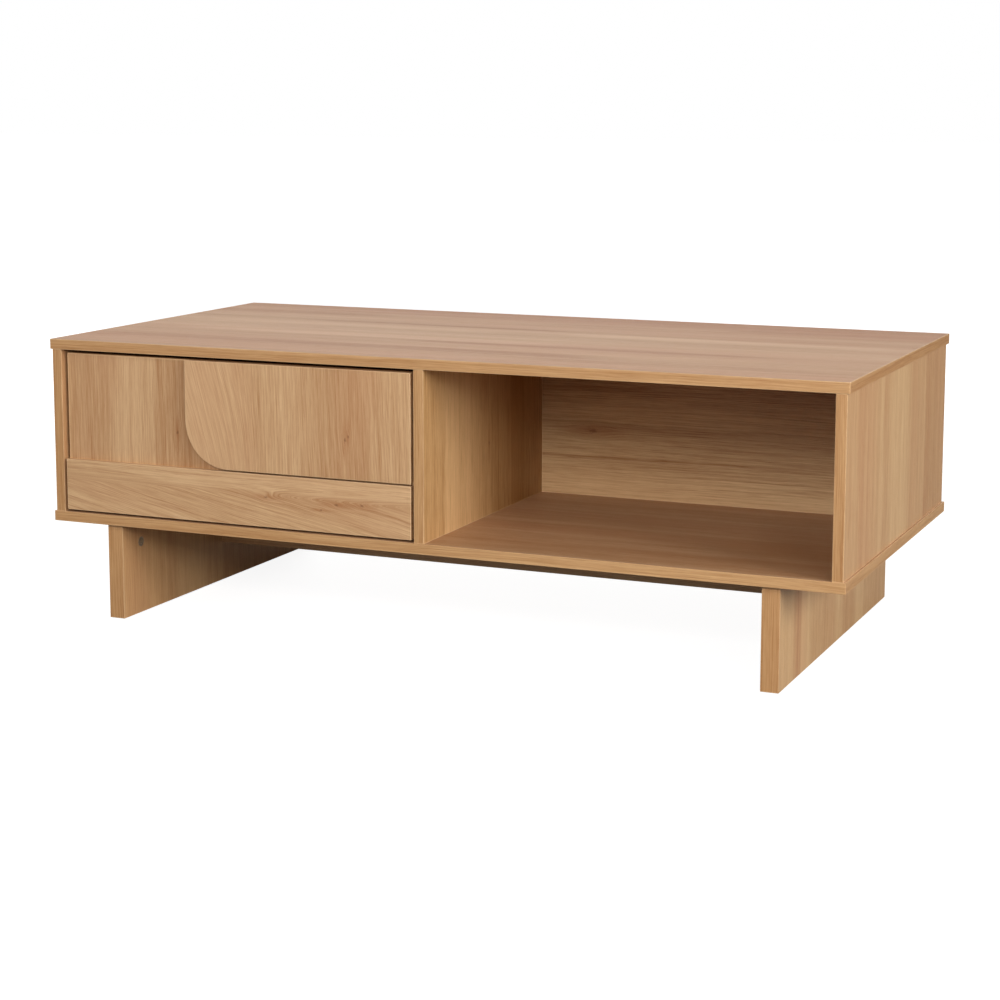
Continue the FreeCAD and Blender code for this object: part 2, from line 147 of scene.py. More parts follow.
def new_group(name, inputs, outputs):
    """A shader node group with named sockets. Gives its tree, its inputs and its outputs."""
    tree = bpy.data.node_groups.new(name, "ShaderNodeTree")
    for label, kind, value in inputs:
        socket = tree.interface.new_socket(label, in_out="INPUT", socket_type="NodeSocket" + kind)
        if value is not None:
            socket.default_value = value
    for label, kind in outputs:
        tree.interface.new_socket(label, in_out="OUTPUT", socket_type="NodeSocket" + kind)
    entry = tree.nodes.new("NodeGroupInput")
    leave = tree.nodes.new("NodeGroupOutput")
    return tree, entry.outputs, leave.inputs


def use(tree, group, inputs):
    """A group placed in a tree with its own values. Gives its outputs."""
    return add(tree, "Group", inputs, node_tree=group).outputs


# Effects that several finishes share

def make_veneer():
    """Wood veneer: wide streaks, strands, fibres and pores along the grain, and growth rings cut lengthwise."""
    tree, given, result = new_group(
        "veneer",
        (
            ("Along", "Float", 0.0),
            ("Across", "Float", 0.0),
            ("Depth", "Float", 0.0),
            ("Seed", "Float", 0.0),
            ("Tone", "Float", 0.5),
            ("Lean", "Float", 0.0),
            ("Pivot", "Float", 0.0),
            ("Push", "Float", 0.0),
            ("Knot", "Float", 0.0),
            ("Halo", "Float", 0.0),
            ("Streaks", "Float", 0.45),
            ("Streak Scale", "Float", 75.0),
            ("Strands", "Float", 0.30),
            ("Fibres", "Float", 1.1),
            ("Pores", "Float", 0.16),
            ("Rings", "Float", 0.06),
            ("Ring Spacing", "Float", 0.006),
            ("Waviness", "Float", 1.0),
            ("Light", "Color", srgb(215, 178, 134)),
            ("Dark", "Color", srgb(160, 111, 67)),
            ("Blush", "Color", srgb(190, 139, 100)),
        ),
        (("Color", "Color"), ("Roughness", "Float"), ("Height", "Float")),
    )
    along, depth, seed = given["Along"], given["Depth"], given["Seed"]
    halo_color, halo_share = srgb(168, 108, 66), 0.22
    knot_color, knot_share = srgb(104, 62, 34), 0.60
    ring_warp, ring_fuzz, ring_sharpness = 5.0, 0.5, 3.0

    def grain(across, layer, per_along, per_across, detail, roughness=0.55, per_deep=0.0):
        """Noise stretched along the grain, with its scales per metre. Each layer has noise of its own."""
        level = calc(tree, "MULTIPLY_ADD", depth, per_deep, calc(tree, "ADD", seed, layer))
        spot = combine(tree, scaled(tree, along, per_along), scaled(tree, across, per_across), level)
        return noise(tree, spot, detail, roughness)

    def off_middle(value, middle, weight):
        """How far a value lies from its middle, times a weight."""
        return calc(tree, "MULTIPLY", calc(tree, "SUBTRACT", value, middle), weight)

    def darker(value, weight, share=1.0):
        """What a value takes off the lightness."""
        return scaled(tree, calc(tree, "MULTIPLY", value, weight), -share)

    leaning = calc(tree, "MULTIPLY", calc(tree, "SUBTRACT", along, given["Pivot"]), given["Lean"])
    straight = total(tree, given["Across"], leaning, given["Push"])
    sway = swing(tree, grain(straight, 0.0, per_along=1.6, per_across=7.0, detail=1.0), reach=0.015)
    ripple = swing(tree, grain(straight, 2.0, per_along=9.0, per_across=40.0, detail=1.0), reach=0.0018)
    across = calc(tree, "MULTIPLY_ADD", total(tree, sway, ripple), given["Waviness"], straight)

    streaks = grain(across, 4.0, per_along=1.3, per_across=given["Streak Scale"], detail=4.0)
    strands = grain(across, 6.0, per_along=4.5, per_across=430.0, detail=3.0, roughness=0.70)
    strands = ease(tree, strands, low=0.30, high=0.66)
    fibres = grain(across, 8.0, per_along=22.0, per_across=900.0, detail=3.0, roughness=0.65, per_deep=600.0)
    pores = grain(across, 10.0, per_along=60.0, per_across=1700.0, detail=1.0, per_deep=900.0)
    pores = ease(tree, pores, low=0.58, high=0.72)

    warp = scaled(tree, grain(across, 12.0, per_along=2.4, per_across=11.0, detail=1.0), ring_warp)
    phase = calc(tree, "ADD", calc(tree, "DIVIDE", across, given["Ring Spacing"]), warp)
    phase = calc(tree, "MULTIPLY_ADD", fibres, ring_fuzz, phase)
    ring = calc(tree, "FLOOR", phase)
    strength = add(tree, "TexWhiteNoise", {"W": ring}, noise_dimensions="1D").outputs["Value"]
    late_wood = calc(tree, "POWER", calc(tree, "FRACT", phase), ring_sharpness)
    late_wood = calc(tree, "MULTIPLY", late_wood, strength)

    lightness = total(
        tree,
        given["Tone"],
        off_middle(streaks, 0.5, given["Streaks"]),
        off_middle(strands, 0.62, given["Strands"]),
        off_middle(fibres, 0.5, given["Fibres"]),
        darker(late_wood, given["Rings"]),
        darker(pores, given["Pores"]),
        darker(given["Halo"], strands, share=0.35),
    )
    color = tint(tree, limited(tree, lightness), given["Dark"], given["Light"])
    drift = grain(across, 14.0, per_along=1.2, per_across=9.0, detail=2.0)
    drift = ease(tree, drift, low=0.42, high=0.74, end=0.30)
    color = tint(tree, drift, color, given["Blush"])
    color = tint(tree, scaled(tree, given["Halo"], halo_share), color, halo_color)
    color = tint(tree, scaled(tree, given["Knot"], knot_share), color, knot_color)

    feed(tree, result["Color"], color)
    feed(tree, result["Roughness"], weighed(tree, 0.40, (fibres, 0.10), (pores, 0.08), (drift, 0.06)))
    feed(tree, result["Height"], weighed(tree, 0.4, (fibres, 0.5), (pores, -0.7), (strands, 0.2)))
    return tree


def make_knot():
    """A small knot in the veneer: its core, the darker wood about it, and how it pushes strands aside."""
    tree, given, result = new_group(
        "knot",
        (
            ("Along", "Float", 0.0),
            ("Across", "Float", 0.0),
            ("Knot Along", "Float", 0.0),
            ("Knot Across", "Float", 0.0),
            ("Size", "Float", 0.004),
            ("Seed", "Float", 0.0),
        ),
        (("Core", "Float"), ("Halo", "Float"), ("Push", "Float")),
    )
    ragged_along, ragged_across = 220.0, 420.0
    off_along = calc(tree, "SUBTRACT", given["Along"], given["Knot Along"])
    off_across = calc(tree, "SUBTRACT", given["Across"], given["Knot Across"])

    def away(slim):
        """Distance from the knot in knot sizes, with the grain direction drawn in."""
        reach = scaled(tree, off_along, slim)
        squares = [calc(tree, "MULTIPLY", offset, offset) for offset in (reach, off_across)]
        return calc(tree, "DIVIDE", calc(tree, "SQRT", total(tree, *squares)), given["Size"])

    spot = combine(
        tree, scaled(tree, off_along, ragged_along), scaled(tree, off_across, ragged_across), given["Seed"],
    )
    ragged = noise(tree, spot, detail=3.0)
    core = calc(tree, "ADD", away(slim=0.55), swing(tree, ragged, reach=1.2))
    halo = calc(tree, "ADD", away(slim=0.16), swing(tree, ragged, reach=0.8))
    hold = ease(tree, away(slim=0.35), low=0.0, high=5.0, start=-0.75, end=0.0)
    feed(tree, result["Core"], ease(tree, core, low=0.1, high=1.1, start=1.0, end=0.0))
    feed(tree, result["Halo"], ease(tree, halo, low=0.0, high=3.2, start=1.0, end=0.0))
    feed(tree, result["Push"], calc(tree, "MULTIPLY", off_across, hold))
    return tree


def make_mark():
    """One long streak in the veneer, lighter or darker than the wood about it, with frayed sides and faded ends."""
    tree, given, result = new_group(
        "streak_mark",
        (
            ("Along", "Float", 0.0),
            ("Across", "Float", 0.0),
            ("Start", "Float", 0.0),
            ("End", "Float", 0.0),
            ("Place", "Float", 0.0),
            ("Half Width", "Float", 0.006),
            ("Amount", "Float", -0.2),
        ),
        (("Tone", "Float"),),
    )
    along, across, place = given["Along"], given["Across"], given["Place"]
    drift_along, strands_along, strands_across, own_noise = 7.0, 3.0, 160.0, 40.0
    fade = 0.06

    spot = combine(tree, scaled(tree, along, drift_along), scaled(tree, place, own_noise), 0.0)
    middle = calc(tree, "ADD", place, swing(tree, noise(tree, spot, detail=2.0), reach=0.006))
    aside = calc(tree, "ABSOLUTE", calc(tree, "SUBTRACT", across, middle))
    strands = combine(
        tree,
        scaled(tree, along, strands_along),
        scaled(tree, across, strands_across),
        scaled(tree, middle, own_noise),
    )
    frayed = swing(tree, noise(tree, strands, detail=3.0), reach=1.2)
    far = calc(tree, "ADD", calc(tree, "DIVIDE", aside, given["Half Width"]), frayed)
    share = ease(tree, far, low=0.2, high=1.0, start=1.0, end=0.0)
    from_start = ease(tree, calc(tree, "SUBTRACT", along, given["Start"]), -fade, fade)
    to_end = ease(tree, calc(tree, "SUBTRACT", given["End"], along), -fade, fade)
    share = calc(tree, "MULTIPLY", share, calc(tree, "MULTIPLY", from_start, to_end))
    feed(tree, result["Tone"], calc(tree, "MULTIPLY", share, given["Amount"]))
    return tree


def make_edge_rub_and_highlight():
    """Rims of a board made lighter, strongest at its edges and broken up along them: a painted highlight where the
    eased edges catch the light, mixed with rubbed wear.
    """
    tree, given, result = new_group(
        "edge_rub_and_highlight",
        (
            ("Position", "Vector", None),
            ("Low", "Vector", None),
            ("High", "Vector", None),
            ("Width", "Float", 0.0014),
            ("Amount", "Float", 0.6),
            ("Color", "Color", None),
            ("Rubbed Highlit Color", "Color", srgb(226, 193, 150)),
        ),
        (("Color", "Color"),),
    )
    patches_per_metre = 90.0
    from_low = vector(tree, "SUBTRACT", given["Position"], given["Low"])
    from_high = vector(tree, "SUBTRACT", given["High"], given["Position"])
    x, y, z = split(tree, vector(tree, "MINIMUM", from_low, from_high))
    # Of the distances to the faces along X, Y and Z, the middle one is the distance to the nearest edge.
    greater = calc(tree, "MINIMUM", calc(tree, "MAXIMUM", x, y), z)
    to_edge = calc(tree, "MAXIMUM", calc(tree, "MINIMUM", x, y), greater)
    patches = noise(tree, stretch(tree, given["Position"], patches_per_metre), detail=3.0)
    near = calc(tree, "ADD", calc(tree, "DIVIDE", to_edge, given["Width"]), swing(tree, patches, reach=0.4))
    rim = ease(tree, near, low=0.2, high=1.0, start=1.0, end=0.0)
    share = calc(tree, "MULTIPLY", rim, given["Amount"])
    feed(tree, result["Color"], tint(tree, share, given["Color"], given["Rubbed Highlit Color"]))
    return tree


def make_chipboard():
    """The sawn core of a board: pressed wood chips of mixed size and colour."""
    tree, given, result = new_group(
        "chipboard",
        (("Position", "Vector", None),),
        (("Color", "Color"), ("Height", "Float")),
    )
    chips_per_metre, grit_per_chip, grit_share = (320.0, 320.0, 520.0), 4.0, 0.5
    brown_chip, pale_chip, dark_grit = srgb(148, 110, 72), srgb(206, 170, 122), srgb(112, 80, 50)
    spot = vector(tree, "MULTIPLY", given["Position"], chips_per_metre)
    chips = add(tree, "TexVoronoi", {"Vector": spot, "Scale": 1.0, "Randomness": 1.0}).outputs
    shade = add(tree, "SeparateColor", {0: chips["Color"]}).outputs[0]
    grit = noise(tree, stretch(tree, spot, grit_per_chip), detail=3.0)
    color = tint(tree, shade, brown_chip, pale_chip)
    feed(tree, result["Color"], tint(tree, scaled(tree, grit, grit_share), color, dark_grit))
    feed(tree, result["Height"], weighed(tree, grit, (chips["Distance"], -0.5)))
    return tree


def make_drawn_metal():
    """Sheet or wire metal with fine lines along its length and a cloudy plated skin."""
    tree, given, result = new_group(
        "drawn_metal",
        (
            ("Along", "Float", 0.0),
            ("Across", "Float", 0.0),
            ("Depth", "Float", 0.0),
            ("Bright", "Color", srgb(214, 217, 220)),
            ("Dull", "Color", srgb(164, 168, 170)),
            ("Gloss", "Float", 0.3),
        ),
        (("Color", "Color"), ("Roughness", "Float"), ("Height", "Float")),
    )

    def skin(per_along, per_across, detail):
        """Noise with one scale along the metal and another across it, per metre."""
        scales = (("Along", per_along), ("Across", per_across), ("Depth", per_across))
        spot = combine(tree, *(scaled(tree, given[label], scale) for label, scale in scales))
        return noise(tree, spot, detail)

    lines = skin(per_along=12.0, per_across=2600.0, detail=3.0)
    clouds = skin(per_along=60.0, per_across=110.0, detail=4.0)
    share = limited(tree, weighed(tree, -0.2, (lines, 0.5), (clouds, 0.9)))
    feed(tree, result["Color"], tint(tree, share, given["Dull"], given["Bright"]))
    uneven = weighed(tree, -0.1, (clouds, 0.16), (lines, 0.10))
    feed(tree, result["Roughness"], total(tree, given["Gloss"], uneven))
    feed(tree, result["Height"], lines)
    return tree


VENEER = make_veneer()
KNOT = make_knot()
MARK = make_mark()
EDGE_RUB_AND_HIGHLIGHT = make_edge_rub_and_highlight()
CHIPBOARD = make_chipboard()
DRAWN_METAL = make_drawn_metal()


# Finishes

def new_finish(name):
    """An empty material with its shader. Gives the material, its tree and the shader."""
    finish = bpy.data.materials.new(name)
    finish.use_nodes = True
    tree = finish.node_tree
    return finish, tree, tree.nodes["Principled BSDF"]


def dress(node, finish):
    """Gives a solid its finish in every material slot."""
    solid = solids[node]
    if not solid.material_slots:
        solid.data.materials.append(finish)
    for holder in solid.material_slots:
        holder.link = "OBJECT"
        holder.material = finish


def position(tree):
    """The place on a solid, in metres."""
    return add(tree, "TexCoord").outputs["Object"]


def other_axis(along, across):
    """The axis through a board, from the axes along and across it."""
    return (set(AXES) - {along, across}).pop()


def ridges(tree, shader, height, distance, strength):
    """Gives a shader the relief of a height."""
    bump = add(tree, "Bump", {"Height": height, "Distance": distance, "Strength": strength})
    feed(tree, shader.inputs["Normal"], bump.outputs[0])


def stave_tones(tree, across, staves):
    """The lightness of the staves across a board, from the places and tones given."""
    low, high = staves[0][0], staves[-1][0]
    inputs = {"Value": across, "From Min": low, "From Max": high}
    ramp = add(tree, "ValToRGB", {"Fac": add(tree, "MapRange", inputs).outputs["Result"]})
    stops = ramp.color_ramp.elements
    stops[1].position = 1.0
    for stave in staves[1:-1]:
        stops.new((stave[0] - low) / (high - low))
    for stop, stave in zip(stops, staves):
        stop.color = (stave[1], stave[1], stave[1], 1.0)
    return ramp.outputs["Color"]


def by_facing(tree, axis):
    """One where the surface faces along an axis, zero elsewhere."""
    least_share = 0.7
    normal = split(tree, add(tree, "NewGeometry").outputs["Normal"])[AXES.index(axis)]
    return calc(tree, "GREATER_THAN", calc(tree, "ABSOLUTE", normal), least_share)


def wood(node, along, across, seed, staves, knots=(), marks=(), lean=None, seam=None, raw="", turn=None,
         rub_and_highlight=0.4, fray=0.0, **look):
    """The veneer of one board or band, with its grain along one axis and its staves across another.

    staves: places across, each with its tone.
    knots: for each, its place along, its place across and its size.
    marks: for each streak, its start and end along, its place across, half its width, and how much lighter it is.
    lean: two places across, how much the strands slant at each, and the point along where they meet the grain.
    seam: two points along between which the staves slope, and how far they drop.
    raw: the axes whose faces show the sawn core.
    turn: the axis of the grain on the faces at a band's ends, and how much lighter those are.
    rub_and_highlight: how strongly the rims are lightened, as a painted highlight along the edges mixed with rubbed
    wear.
    fray: how far the staves' tones run into each other along the strands.
    look: further values of the veneer, by their names in the group.
    """
    finish, tree, shader = new_finish(node + "_wood")
    spot = position(tree)
    parts = dict(zip(AXES, split(tree, spot)))
    run, side, deep = parts[along], parts[across], parts[other_axis(along, across)]
    inputs = {"Seed": seed}
    if turn:
        end_axis, end_tone = turn
        at_end = by_facing(tree, along)
        run, deep = choose(tree, at_end, run, parts[end_axis]), choose(tree, at_end, deep, parts[along])

    stave = side
    if seam:
        start, end, drop = seam
        stave = calc(tree, "SUBTRACT", side, ease(tree, run, start, end, drop, 0.0))
    if fray:
        strands_along, strands_across = 2.2, 90.0
        strands = combine(tree, scaled(tree, run, strands_along), scaled(tree, side, strands_across), seed)
        stave = calc(tree, "ADD", stave, swing(tree, noise(tree, strands, detail=4.0, roughness=0.6), fray))
    tone = stave_tones(tree, stave, staves)
    if turn:
        tone = calc(tree, "MULTIPLY_ADD", at_end, end_tone, tone)
    for start, end, place, half_width, amount in marks:
        mark = use(tree, MARK, {
            "Along": run, "Across": side, "Start": start, "End": end,
            "Place": place, "Half Width": half_width, "Amount": amount,
        })
        tone = calc(tree, "ADD", tone, mark["Tone"])

    if lean:
        first, second, first_lean, second_lean, inputs["Pivot"] = lean
        inputs["Lean"] = ease(tree, side, first, second, first_lean, second_lean)
    for count, (knot_along, knot_across, size) in enumerate(knots):
        knot = use(tree, KNOT, {
            "Along": run, "Across": side, "Knot Along": knot_along, "Knot Across": knot_across,
            "Size": size, "Seed": seed + count,
        })
        for effect, output, join in (
            ("Knot", "Core", "MAXIMUM"), ("Halo", "Halo", "MAXIMUM"), ("Push", "Push", "ADD"),
        ):
            inputs[effect] = calc(tree, join, inputs[effect], knot[output]) if count else knot[output]
    inputs.update({"Along": run, "Across": side, "Depth": deep, "Tone": tone})
    inputs.update({label.replace("_", " ").title(): value for label, value in look.items()})
    veneer = use(tree, VENEER, inputs)

    low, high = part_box(node)
    # The rims get a painted highlight along the board's edges, mixed with rubbed wear.
    rubbed_and_highlit = use(tree, EDGE_RUB_AND_HIGHLIGHT, {
        "Position": spot, "Low": tuple(low), "High": tuple(high), "Color": veneer["Color"], "Amount": rub_and_highlight,
    })
    color, rough, height = rubbed_and_highlit["Color"], veneer["Roughness"], veneer["Height"]
    for axis in raw:
        facing = by_facing(tree, axis)
        sawn = use(tree, CHIPBOARD, {"Position": spot})
        color = tint(tree, facing, color, sawn["Color"])
        height = choose(tree, facing, height, sawn["Height"])
        rough = choose(tree, facing, rough, SAWN_ROUGHNESS)
    feed(tree, shader.inputs["Base Color"], color)
    feed(tree, shader.inputs["Roughness"], rough)
    ridges(tree, shader, height, distance=0.0002, strength=0.5)
    dress(node, finish)


def metal(name, nodes, along, across, gloss, bright, dull):
    """Plated or bare metal with lines along one axis."""
    finish, tree, shader = new_finish(name)
    parts = dict(zip(AXES, split(tree, position(tree))))
    made = use(tree, DRAWN_METAL, {
        "Along": parts[along], "Across": parts[across], "Depth": parts[other_axis(along, across)],
        "Bright": bright, "Dull": dull, "Gloss": gloss,
    })
    shader.inputs["Metallic"].default_value = 1.0
    feed(tree, shader.inputs["Base Color"], made["Color"])
    feed(tree, shader.inputs["Roughness"], made["Roughness"])
    ridges(tree, shader, made["Height"], distance=0.00005, strength=0.3)
    for node in nodes:
        dress(node, finish)


def moulded_plastic():
    """Brown plastic of the floor glides, with a fine moulded grain and scuffs."""
    finish, tree, shader = new_finish("glide_plastic")
    spot = position(tree)
    grain_per_metre, scuffs_per_metre = 2200.0, 260.0
    grain = noise(tree, stretch(tree, spot, grain_per_metre), detail=2.0)
    scuffs = noise(tree, stretch(tree, spot, scuffs_per_metre), detail=4.0)
    feed(tree, shader.inputs["Base Color"], tint(tree, scuffs, srgb(70, 52, 38), srgb(112, 88, 66)))
    feed(tree, shader.inputs["Roughness"], weighed(tree, 0.4, (scuffs, 0.3)))
    ridges(tree, shader, grain, distance=0.0001, strength=0.4)
    dress("leg_glides", finish)


def spread(node, axis, *tones):
    """Staves with their tones set evenly across a board along an axis."""
    low, high = (corner[AXES.index(axis)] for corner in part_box(node))
    step = (high - low) / (len(tones) - 1)
    return [(low + count * step, tone) for count, tone in enumerate(tones)]


# The pieces

def carcass_boards():
    """Top, bottom, sides, divider, legs, stretcher and back panels."""
    # The top's rearmost staves are darker partly as painted shade, where the light falls off towards the back.
    wood("top_panel", "X", "Y", seed=1.3, staves=(
        (-0.300, 0.52), (-0.240, 0.50), (-0.205, 0.42), (-0.160, 0.52), (-0.104, 0.46), (-0.083, 0.62),
        (-0.030, 0.60), (0.020, 0.54), (0.060, 0.54), (0.085, 0.42), (0.105, 0.44), (0.140, 0.50),
        (0.190, 0.24), (0.235, 0.24), (0.270, 0.13), (0.300, 0.14),
    ), marks=(
        (-0.376, 0.042, 0.093, 0.012, -0.40), (-0.10, 0.42, -0.103, 0.016, -0.28),
        (-0.50, 0.10, -0.070, 0.030, 0.26), (-0.58, 0.20, -0.190, 0.030, -0.28),
        (0.10, 0.60, 0.060, 0.040, 0.30), (-0.30, 0.30, 0.200, 0.026, 0.22),
        (0.15, 0.60, -0.235, 0.030, -0.22), (-0.52, -0.05, 0.040, 0.026, 0.20),
    ), fray=0.03, streaks=0.75, streak_scale=26.0, strands=0.26, fibres=0.9, waviness=0.6,
         light=srgb(214, 177, 139), dark=srgb(164, 110, 66), blush=srgb(192, 137, 108))
    # The compartment floor's one dark mark, by the right side panel, is a painted shadow of that panel.
    wood("bottom_panel", "X", "Y", seed=4.1, staves=(
        (-0.300, 0.30), (-0.262, 0.26), (-0.225, 0.14), (-0.200, 0.30), (-0.160, 0.24), (-0.120, 0.12),
        (-0.085, 0.28), (-0.030, 0.18), (0.020, 0.30), (0.060, 0.16), (0.130, 0.22), (0.210, 0.50),
        (0.300, 0.42),
    ), marks=((0.42, 0.62, -0.120, 0.240, -0.17),), fray=0.02, streaks=0.8, streak_scale=42.0,
         light=srgb(214, 179, 141), dark=srgb(160, 113, 74), blush=srgb(188, 141, 107))

    side_look = {"streaks": 0.45, "strands": 0.22, "light": srgb(215, 180, 132), "dark": srgb(160, 108, 66)}
    side_staves = (
        (-0.298, 0.50), (-0.246, 0.52), (-0.234, 0.40), (-0.206, 0.41), (-0.194, 0.46), (-0.126, 0.48),
        (-0.119, 0.59), (-0.101, 0.57), (-0.094, 0.43), (-0.080, 0.47), (-0.060, 0.59), (-0.020, 0.70),
        (0.045, 0.68), (0.066, 0.53), (0.072, 0.45), (0.118, 0.47), (0.128, 0.58), (0.158, 0.56),
        (0.168, 0.31), (0.195, 0.34), (0.215, 0.36), (0.295, 0.38),
    )
    mirrored_staves = [(-place, tone) for place, tone in reversed(side_staves)]
    wood("right_side_panel", "Z", "Y", seed=7.7, staves=side_staves, **side_look)
    wood("left_side_panel", "Z", "Y", seed=9.2, staves=mirrored_staves, **side_look)
    # The divider's staves are part veneer and part painted light and shade: their tones follow how light falls in
    # the compartment, darkening towards the rear. The sharp drop at y = 0.0095 is a veneer seam.
    wood("divider_panel", "Z", "Y", seed=2.6, staves=(
        (-0.298, 0.58), (-0.262, 0.58), (-0.246, 0.66), (-0.226, 0.88), (-0.200, 0.92), (-0.152, 0.96),
        (-0.146, 0.86), (-0.116, 0.70), (-0.092, 0.57), (-0.060, 0.45), (-0.056, 0.39), (-0.036, 0.34),
        (-0.010, 0.30), (0.0080, 0.30), (0.0095, 0.00), (0.045, 0.04), (0.072, 0.13), (0.100, 0.26),
        (0.130, 0.30), (0.136, 0.40), (0.295, 0.45),
    ), knots=((0.266, -0.074, 0.002),), marks=((0.14, 0.31, -0.234, 0.007, -0.22),),
         streaks=0.45, strands=0.26, fibres=1.4, waviness=0.5,
         light=srgb(216, 174, 122), dark=srgb(141, 91, 29), blush=srgb(180, 132, 84))
    wood("right_leg", "Z", "Y", seed=5.4, staves=(
        (-0.290, 0.66), (-0.226, 0.70), (-0.217, 0.44), (-0.189, 0.40), (-0.183, 0.78), (-0.142, 0.72),
        (-0.132, 0.58), (-0.082, 0.54), (-0.070, 0.48), (-0.010, 0.52), (0.000, 0.68), (0.032, 0.66),
        (0.042, 0.42), (0.106, 0.46), (0.114, 0.72), (0.156, 0.70), (0.164, 0.50), (0.298, 0.52),
    ), marks=((0.0, 0.15, -0.203, 0.004, -0.30),), raw="Z", **side_look)
    warm_look = {**side_look, "light": srgb(216, 173, 121), "dark": srgb(163, 105, 57)}
    # Behind y = -0.006 the left leg's staves are darker: a painted shadow of the stretcher rail, on both faces of
    # the leg.
    wood("left_leg", "Z", "Y", seed=11.9, staves=(
        (-0.290, 0.60), (-0.220, 0.60), (-0.216, 0.66), (-0.150, 0.62), (-0.135, 0.82), (-0.105, 0.84),
        (-0.090, 0.90), (-0.062, 0.90), (-0.048, 0.70), (-0.010, 0.68), (-0.006, 0.48), (0.150, 0.46),
        (0.298, 0.50),
    ), raw="Z", **warm_look)
    wood("stretcher_rail", "X", "Z", seed=3.3, staves=spread("stretcher_rail", "Z", 0.82, 0.70, 0.66, 0.60))
    # The back panel's staves darken towards the top: painted shade under the top panel, laid over the veneer's own
    # bands.
    wood("compartment_back_panel", "X", "Z", seed=6.8, staves=(
        (0.158, 0.82), (0.180, 0.75), (0.196, 0.66), (0.212, 0.62), (0.2265, 0.60), (0.246, 0.55),
        (0.256, 0.54), (0.2725, 0.50), (0.2745, 0.78), (0.290, 0.76), (0.306, 0.55), (0.325, 0.34),
        (0.345, 0.26), (0.400, 0.22),
    ), knots=((0.092, 0.259, 0.0045),), marks=(
        (0.10, 0.34, 0.267, 0.008, -0.14), (-0.05, 0.42, 0.2185, 0.0035, -0.20),
        (0.06, 0.30, 0.209, 0.010, -0.10), (0.20, 0.55, 0.197, 0.003, -0.14),
        (0.05, 0.50, 0.238, 0.006, 0.08), (-0.05, 0.07, 0.250, 0.070, 0.12),
    ), streaks=0.25, strands=0.32, fibres=1.1, waviness=0.45,
         light=srgb(216, 180, 132), dark=srgb(140, 88, 34), blush=srgb(186, 138, 90))
    wood("drawer_bay_back_panel", "X", "Z", seed=8.5,
         staves=spread("drawer_bay_back_panel", "Z", 0.5, 0.44, 0.55, 0.47, 0.52))


def drawer_front_boards():
    """Base board, rounded overlay and lower strip of the drawer front."""
    fibres = 1.25
    wood("drawer_front_panel", "Z", "X", seed=12.4, staves=(
        (-0.577, 0.46), (-0.540, 0.38), (-0.500, 0.44), (-0.490, 0.68), (-0.430, 0.62), (-0.424, 0.34),
        (-0.372, 0.28), (-0.200, 0.40), (-0.012, 0.42),
    ), knots=((0.288, -0.390, 0.002),), fibres=fibres)
    wood("drawer_overlay_panel", "Z", "X", seed=14.2, staves=(
        (-0.371, 0.76), (-0.330, 0.70), (-0.290, 0.62), (-0.235, 0.54), (-0.231, 0.66), (-0.193, 0.60),
        (-0.189, 0.52), (-0.168, 0.40), (-0.100, 0.34), (-0.080, 0.46), (-0.050, 0.56), (-0.011, 0.52),
    ), knots=((0.295, -0.113, 0.0022), (0.300, -0.108, 0.0016)), lean=(-0.330, -0.235, 0.26, 0.03, 0.30),
         fibres=fibres)
    wood("drawer_lower_strip", "X", "Z", seed=16.6, staves=(
        (0.162, 0.62), (0.195, 0.54), (0.212, 0.52), (0.215, 0.72), (0.237, 0.66),
    ), knots=(
        (-0.240, 0.205, 0.0022), (-0.152, 0.193, 0.0014), (-0.127, 0.202, 0.0022), (-0.087, 0.204, 0.0020),
    ), marks=((-0.20, -0.02, 0.202, 0.014, -0.16),), lean=(0.206, 0.220, 0.22, 0.03, -0.30),
         seam=(-0.52, -0.37, 0.015), rings=0.40, ring_spacing=0.007, fibres=fibres)


def edge_bands():
    """Thin bands on the edges of the boards."""
    band_look = {
        "light": srgb(208, 166, 116), "dark": srgb(158, 108, 60), "blush": srgb(188, 138, 90),
        "rings": 0.0, "strands": 0.42,
    }
    # How much painted highlight and rubbed wear the bands' rims get.
    rub_and_highlight = 0.28
    for node, seed, tone, end_tone, band_rub_and_highlight in (
        ("top_edge_band", 21.0, 0.47, -0.15, rub_and_highlight),
        ("bottom_edge_band", 22.5, 0.55, 0.0, 0.10),
    ):
        staves = spread(node, "Z", tone, tone - 0.04, tone + 0.04)
        wood(node, "X", "Z", seed, staves, turn=("Y", end_tone), rub_and_highlight=band_rub_and_highlight, **band_look)
    wood("drawer_front_edge_band", "X", "Y", seed=23.1, staves=spread("drawer_front_edge_band", "Y", 0.5, 0.48),
         turn=("Z", 0.0), rub_and_highlight=rub_and_highlight, **band_look)
    for node, seed, tone in (
        ("left_side_edge_band", 24.2, 0.36),
        ("right_side_edge_band", 25.8, 0.36),
        ("divider_edge_band", 26.3, 0.46),
        ("left_leg_edge_band", 27.9, 0.36),
        ("right_leg_edge_band", 28.4, 0.36),
    ):
        staves = spread(node, "X", tone - 0.02, tone + 0.04, tone)
        wood(node, "Z", "X", seed, staves, raw="Z", rub_and_highlight=rub_and_highlight, **band_look)
    wood("stretcher_edge_band", "X", "Y", seed=29.5, staves=spread("stretcher_edge_band", "Y", 0.5, 0.5),
         rub_and_highlight=rub_and_highlight, **band_look)


